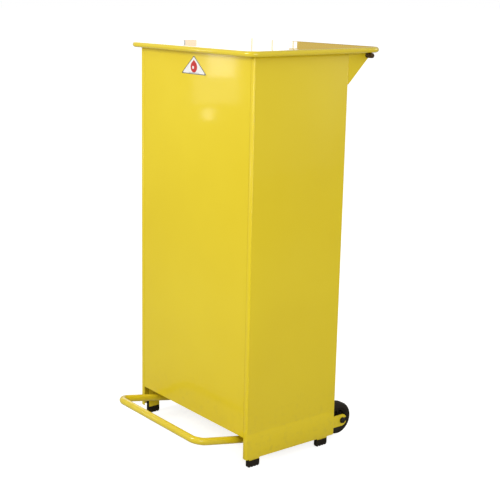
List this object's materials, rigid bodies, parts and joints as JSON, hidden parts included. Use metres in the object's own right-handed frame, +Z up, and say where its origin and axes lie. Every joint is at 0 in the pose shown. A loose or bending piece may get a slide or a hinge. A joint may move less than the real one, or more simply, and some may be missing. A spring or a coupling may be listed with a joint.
{
  "type": "oily waste can",
  "caption": "Tall square sheet-steel waste can with an overhanging flat lid, a front pedal bar that lifts the lid, rubber feet and rear transport wheels.",
  "frame": {"origin": "on the floor under the middle of the outside box", "axes": "+Z up, the pedal is at the front towards -Y, +X is the can's side at the right of someone who looks along +Y at its front"},
  "size_m": [0.437, 0.4358, 0.878],
  "materials": {
    "body_paint": "gloss powder coat, yellow",
    "lid_paint": "high-gloss powder coat, yellow",
    "zinc_steel": "bright zinc plate",
    "black_plastic": "moulded, slight sheen",
    "foot_rubber": "moulded black rubber",
    "tyre_rubber": "matt black rubber",
    "sign_face": "printed sheet"
  },
  "bodies": {
    "can_body": {"side_panel_left": "body_paint", "side_panel_right": "body_paint", "front_panel": "body_paint", "back_panel": "body_paint", "base_tray": "body_paint", "top_rail_left": "body_paint", "top_rail_right": "body_paint", "top_rail_front": "body_paint", "top_rail_rear": "body_paint", "gusset_left": "body_paint", "gusset_right": "body_paint", "leg_left_front": "body_paint", "leg_left_rear": "body_paint", "leg_right_front": "body_paint", "leg_right_rear": "body_paint", "wheel_fork_left": "body_paint", "wheel_fork_right": "body_paint", "pivot_bracket_left": "body_paint", "pivot_bracket_right": "body_paint", "rod_guide_lower": "body_paint", "rod_guide_upper": "body_paint", "hinge_rod": "zinc_steel", "pivot_rod": "zinc_steel", "pivot_clip_left": "zinc_steel", "pivot_clip_right": "zinc_steel", "wheel_axle_left": "zinc_steel", "wheel_axle_right": "zinc_steel", "hinge_cap_left": "black_plastic", "hinge_cap_right": "black_plastic", "axle_cap_left": "black_plastic", "axle_cap_right": "black_plastic", "foot_left_front": "foot_rubber", "foot_left_rear": "foot_rubber", "foot_right_front": "foot_rubber", "foot_right_rear": "foot_rubber", "label_plate": "sign_face"},
    "lid": {"lid_shell": "lid_paint", "lid_lug_left": "lid_paint", "lid_lug_right": "lid_paint", "lid_crank": "lid_paint", "lid_buffer_left": "foot_rubber", "lid_buffer_right": "foot_rubber"},
    "lifting_rod": {"lift_rod": "zinc_steel", "rod_clip_upper": "zinc_steel", "rod_clip_lower": "zinc_steel"},
    "pedal": {"pedal_bar": "body_paint", "pedal_lever": "body_paint"},
    "wheel_left": {"wheel_tyre_left": "tyre_rubber", "wheel_hub_left": "black_plastic"},
    "wheel_right": {"wheel_tyre_right": "tyre_rubber", "wheel_hub_right": "black_plastic"}
  },
  "joints": [
    {"name": "pedal_pivot", "type": "hinge", "parent": "can_body", "child": "pedal", "pos_m": [0, -0.02, 0.03509], "axis": [1, 0, 0], "range_deg": [0, 14.27]},
    {"name": "rod_lift", "type": "slide", "parent": "can_body", "child": "lifting_rod", "axis": [0, 0, 1], "range_m": [0, 0.04282]},
    {"name": "lid_hinge", "type": "hinge", "parent": "can_body", "child": "lid", "pos_m": [0, 0.187, 0.8608], "axis": [-1, 0, 0], "range_deg": [0, 60.1]},
    {"name": "wheel_left_spin", "type": "hinge", "parent": "can_body", "child": "wheel_left", "pos_m": [-0.173, 0.164, 0.048], "axis": [1, 0, 0], "continuous": true},
    {"name": "wheel_right_spin", "type": "hinge", "parent": "can_body", "child": "wheel_right", "pos_m": [0.173, 0.164, 0.048], "axis": [1, 0, 0], "continuous": true}
  ],
  "couplings": [
    {"joint": "rod_lift", "follows": "pedal_pivot", "m_per_rad": 0.17149},
    {"joint": "lid_hinge", "follows": "pedal_pivot", "ratio": 4.2034}
  ]
}
